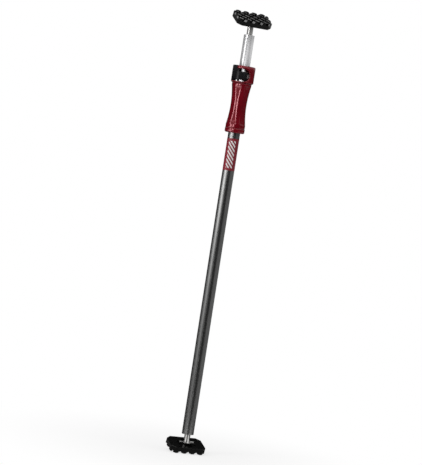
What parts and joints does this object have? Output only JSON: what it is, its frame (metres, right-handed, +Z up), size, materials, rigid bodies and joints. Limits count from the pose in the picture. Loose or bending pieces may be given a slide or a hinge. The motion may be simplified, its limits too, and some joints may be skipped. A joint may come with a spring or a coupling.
{
  "type": "telescopic prop",
  "caption": "Telescopic support prop: round outer tube, chromed inner tube with a push-button plate lock, screw-adjust grip and tilting studded pads at both ends.",
  "frame": {"origin": "on the axis of the tubes, level with the lowest stud tip of the foot pad", "axes": "+Z up along the tubes from foot to head, -Y towards the front of the picture, +X to its right"},
  "size_m": [0.1027, 0.0879, 1.1156],
  "materials": {
    "black_pvc": "moulded PVC, glossy black",
    "grey_paint": "glossy dark grey paint",
    "red_plastic": "moulded nylon, glossy dark red",
    "red_label": "dark red film with white marks",
    "black_plastic": "moulded nylon, glossy black",
    "chrome": "polished chrome plate",
    "zinc_steel": "bright zinc plate",
    "plain_steel": "plain turned steel",
    "brass_nut": "turned brass",
    "white_nylon": "natural nylon"
  },
  "bodies": {
    "outer_tube": {"outer_tube": "grey_paint", "tube_label": "red_label", "foot_plug": "plain_steel", "foot_plug_pin": "zinc_steel", "foot_stem": "zinc_steel", "foot_cross_pin": "zinc_steel", "thread_sleeve": "plain_steel", "tube_guide_bush": "white_nylon"},
    "foot_pad": {"foot_pad": "black_pvc"},
    "lock_head": {"head_housing": "red_plastic", "top_guide_bush": "white_nylon", "thrust_collar": "plain_steel", "fulcrum_block": "plain_steel", "lock_spring": "plain_steel", "grip_snap_ring": "plain_steel", "button_guide_pin": "plain_steel"},
    "grip": {"grip": "red_plastic", "thread_nut": "brass_nut", "grip_end_ring": "red_plastic"},
    "release_button": {"release_button": "black_plastic"},
    "lock_plates": {"lock_plate_lower": "plain_steel", "lock_plate_middle": "plain_steel", "lock_plate_upper": "plain_steel"},
    "slide_ring": {"slide_ring": "white_nylon"},
    "inner_tube": {"inner_tube": "chrome", "stop_ring": "plain_steel", "head_plug": "plain_steel", "head_plug_pin": "zinc_steel", "head_stem": "zinc_steel", "head_cross_pin": "zinc_steel"},
    "head_pad": {"head_pad": "black_pvc"}
  },
  "joints": [
    {"name": "foot_swivel", "type": "hinge", "parent": "outer_tube", "child": "foot_pad", "pos_m": [0, 0, 0.02429], "axis": [0.9336, 0.3584, 0], "range_deg": [-61.5, 28.5]},
    {"name": "screw_lift", "type": "slide", "parent": "outer_tube", "child": "lock_head", "axis": [0, 0, 1], "range_m": [0, 0.036]},
    {"name": "grip_turn", "type": "hinge", "parent": "lock_head", "child": "grip", "pos_m": [0, 0, 0.9], "axis": [0, 0, 1], "range_deg": [0, 2160]},
    {"name": "button_press", "type": "slide", "parent": "lock_head", "child": "release_button", "axis": [0.9659, 0.2588, 0], "range_m": [0, 0.004], "stiffness_N_per_m": 2500, "springref_m": -0.004, "deforming": ["lock_spring"]},
    {"name": "plates_tilt", "type": "hinge", "parent": "lock_head", "child": "lock_plates", "pos_m": [0.01739, 0.00466, 0.94999], "axis": [-0.2588, 0.9659, 0], "range_deg": [0, 5.7]},
    {"name": "prop_extend", "type": "slide", "parent": "lock_head", "child": "slide_ring", "axis": [0, 0, 1], "range_m": [-0.06, 0.565]},
    {"name": "inner_turn", "type": "hinge", "parent": "slide_ring", "child": "inner_tube", "pos_m": [0, 0, 0.5], "axis": [0, 0, 1], "continuous": true},
    {"name": "head_swivel", "type": "hinge", "parent": "inner_tube", "child": "head_pad", "pos_m": [0, 0, 1.08759], "axis": [0.9336, 0.3584, 0], "range_deg": [-70.5, 19.5]}
  ],
  "couplings": [
    {"joint": "screw_lift", "follows": "grip_turn", "m_per_rad": 0.00095493},
    {"joint": "plates_tilt", "follows": "button_press", "rad_per_m": 24.871}
  ]
}
